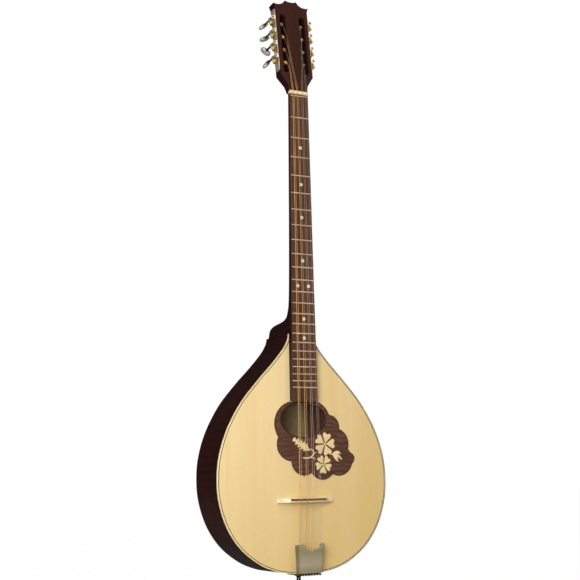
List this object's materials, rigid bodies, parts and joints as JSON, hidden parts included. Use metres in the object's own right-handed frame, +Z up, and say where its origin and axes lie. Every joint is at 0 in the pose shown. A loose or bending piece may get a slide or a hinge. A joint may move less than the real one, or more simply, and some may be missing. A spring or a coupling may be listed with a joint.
{
  "type": "bouzouki",
  "caption": "Long-necked, flat-backed teardrop bouzouki with double courses of strings, a slotted head with worm-geared tuners, an oval soundhole, an inlaid pickguard and a floating bridge.",
  "frame": {"origin": "centre of the end pin's outer flat face, at the tail", "axes": "+Z up the neck towards the head, soundboard faces -Y, treble side is +X"},
  "size_m": [0.3044, 0.1061, 0.969],
  "materials": {
    "spruce": "gloss lacquered spruce, straight vertical grain",
    "dark_wood": "near black red-brown gloss lacquer over wood",
    "red_veneer": "gloss red-brown veneer",
    "inner_wood": "bare sawn wood",
    "walnut": "satin dark walnut veneer",
    "maple": "pale satin maple",
    "rosewood": "oiled rosewood",
    "bone": "polished cream bone",
    "nickel": "satin nickel plate",
    "steel": "satin steel",
    "brass": "polished brass",
    "bronze": "bronze wound string",
    "paper": "matt aged paper",
    "binding": "cream binding"
  },
  "bodies": {
    "instrument": {"soundboard": "spruce", "top_binding": "binding", "side_bass": "dark_wood", "side_treble": "dark_wood", "back_plate": "dark_wood", "neck_block": "inner_wood", "tail_block": "inner_wood", "lining_top_bass": "inner_wood", "lining_top_treble": "inner_wood", "lining_back_bass": "inner_wood", "lining_back_treble": "inner_wood", "brace_top_upper": "inner_wood", "brace_top_middle": "inner_wood", "brace_top_lower": "inner_wood", "brace_back_upper": "inner_wood", "brace_back_middle": "inner_wood", "brace_back_lower": "inner_wood", "label": "paper", "neck": "dark_wood", "truss_rod": "steel", "fingerboard": "rosewood", "fret_set": "nickel", "nut": "bone", "headstock": "dark_wood", "headstock_veneer": "red_veneer", "tuner_plate_bass": "nickel", "tuner_plate_treble": "nickel", "pickguard": "walnut", "inlay_large_flower": "maple", "inlay_small_flower": "maple", "inlay_leaf_stem": "maple", "bridge": "maple", "bridge_saddle": "rosewood", "tailpiece_base": "nickel", "tailpiece_cover": "steel", "end_pin": "steel", "string_1": "bronze", "string_2": "bronze", "string_3": "bronze", "string_4": "bronze", "string_5": "steel", "string_6": "steel", "string_7": "steel", "string_8": "steel"},
    "knob_bass_1": {"knob_bass_1": "nickel"},
    "roller_bass_1": {"roller_bass_1": "brass"},
    "knob_bass_2": {"knob_bass_2": "nickel"},
    "roller_bass_2": {"roller_bass_2": "brass"},
    "knob_bass_3": {"knob_bass_3": "nickel"},
    "roller_bass_3": {"roller_bass_3": "brass"},
    "knob_bass_4": {"knob_bass_4": "nickel"},
    "roller_bass_4": {"roller_bass_4": "brass"},
    "knob_treble_1": {"knob_treble_1": "nickel"},
    "roller_treble_1": {"roller_treble_1": "brass"},
    "knob_treble_2": {"knob_treble_2": "nickel"},
    "roller_treble_2": {"roller_treble_2": "brass"},
    "knob_treble_3": {"knob_treble_3": "nickel"},
    "roller_treble_3": {"roller_treble_3": "brass"},
    "knob_treble_4": {"knob_treble_4": "nickel"},
    "roller_treble_4": {"roller_treble_4": "brass"}
  },
  "joints": [
    {"name": "turn_knob_bass_1", "type": "hinge", "parent": "instrument", "child": "knob_bass_1", "pos_m": [-0.0354, -0.03014, 0.86389], "axis": [0, -0.9919, 0.1271], "continuous": true},
    {"name": "turn_roller_bass_1", "type": "hinge", "parent": "instrument", "child": "roller_bass_1", "pos_m": [-0.02, -0.02357, 0.85458], "axis": [1, 0, 0], "continuous": true},
    {"name": "turn_knob_bass_2", "type": "hinge", "parent": "instrument", "child": "knob_bass_2", "pos_m": [-0.0354, -0.02713, 0.88739], "axis": [0, -0.9919, 0.1271], "continuous": true},
    {"name": "turn_roller_bass_2", "type": "hinge", "parent": "instrument", "child": "roller_bass_2", "pos_m": [-0.02, -0.02056, 0.87808], "axis": [1, 0, 0], "continuous": true},
    {"name": "turn_knob_bass_3", "type": "hinge", "parent": "instrument", "child": "knob_bass_3", "pos_m": [-0.0354, -0.02412, 0.9109], "axis": [0, -0.9919, 0.1271], "continuous": true},
    {"name": "turn_roller_bass_3", "type": "hinge", "parent": "instrument", "child": "roller_bass_3", "pos_m": [-0.02, -0.01755, 0.90159], "axis": [1, 0, 0], "continuous": true},
    {"name": "turn_knob_bass_4", "type": "hinge", "parent": "instrument", "child": "knob_bass_4", "pos_m": [-0.0354, -0.02111, 0.93441], "axis": [0, -0.9919, 0.1271], "continuous": true},
    {"name": "turn_roller_bass_4", "type": "hinge", "parent": "instrument", "child": "roller_bass_4", "pos_m": [-0.02, -0.01454, 0.9251], "axis": [1, 0, 0], "continuous": true},
    {"name": "turn_knob_treble_1", "type": "hinge", "parent": "instrument", "child": "knob_treble_1", "pos_m": [0.0354, -0.03014, 0.86389], "axis": [0, -0.9919, 0.1271], "continuous": true},
    {"name": "turn_roller_treble_1", "type": "hinge", "parent": "instrument", "child": "roller_treble_1", "pos_m": [0.02, -0.02357, 0.85458], "axis": [1, 0, 0], "continuous": true},
    {"name": "turn_knob_treble_2", "type": "hinge", "parent": "instrument", "child": "knob_treble_2", "pos_m": [0.0354, -0.02713, 0.88739], "axis": [0, -0.9919, 0.1271], "continuous": true},
    {"name": "turn_roller_treble_2", "type": "hinge", "parent": "instrument", "child": "roller_treble_2", "pos_m": [0.02, -0.02056, 0.87808], "axis": [1, 0, 0], "continuous": true},
    {"name": "turn_knob_treble_3", "type": "hinge", "parent": "instrument", "child": "knob_treble_3", "pos_m": [0.0354, -0.02412, 0.9109], "axis": [0, -0.9919, 0.1271], "continuous": true},
    {"name": "turn_roller_treble_3", "type": "hinge", "parent": "instrument", "child": "roller_treble_3", "pos_m": [0.02, -0.01755, 0.90159], "axis": [1, 0, 0], "continuous": true},
    {"name": "turn_knob_treble_4", "type": "hinge", "parent": "instrument", "child": "knob_treble_4", "pos_m": [0.0354, -0.02111, 0.93441], "axis": [0, -0.9919, 0.1271], "continuous": true},
    {"name": "turn_roller_treble_4", "type": "hinge", "parent": "instrument", "child": "roller_treble_4", "pos_m": [0.02, -0.01454, 0.9251], "axis": [1, 0, 0], "continuous": true}
  ],
  "couplings": [
    {"joint": "turn_roller_bass_1", "follows": "turn_knob_bass_1", "ratio": -0.071429},
    {"joint": "turn_roller_bass_2", "follows": "turn_knob_bass_2", "ratio": -0.071429},
    {"joint": "turn_roller_bass_3", "follows": "turn_knob_bass_3", "ratio": -0.071429},
    {"joint": "turn_roller_bass_4", "follows": "turn_knob_bass_4", "ratio": -0.071429},
    {"joint": "turn_roller_treble_1", "follows": "turn_knob_treble_1", "ratio": -0.071429},
    {"joint": "turn_roller_treble_2", "follows": "turn_knob_treble_2", "ratio": -0.071429},
    {"joint": "turn_roller_treble_3", "follows": "turn_knob_treble_3", "ratio": -0.071429},
    {"joint": "turn_roller_treble_4", "follows": "turn_knob_treble_4", "ratio": -0.071429}
  ]
}
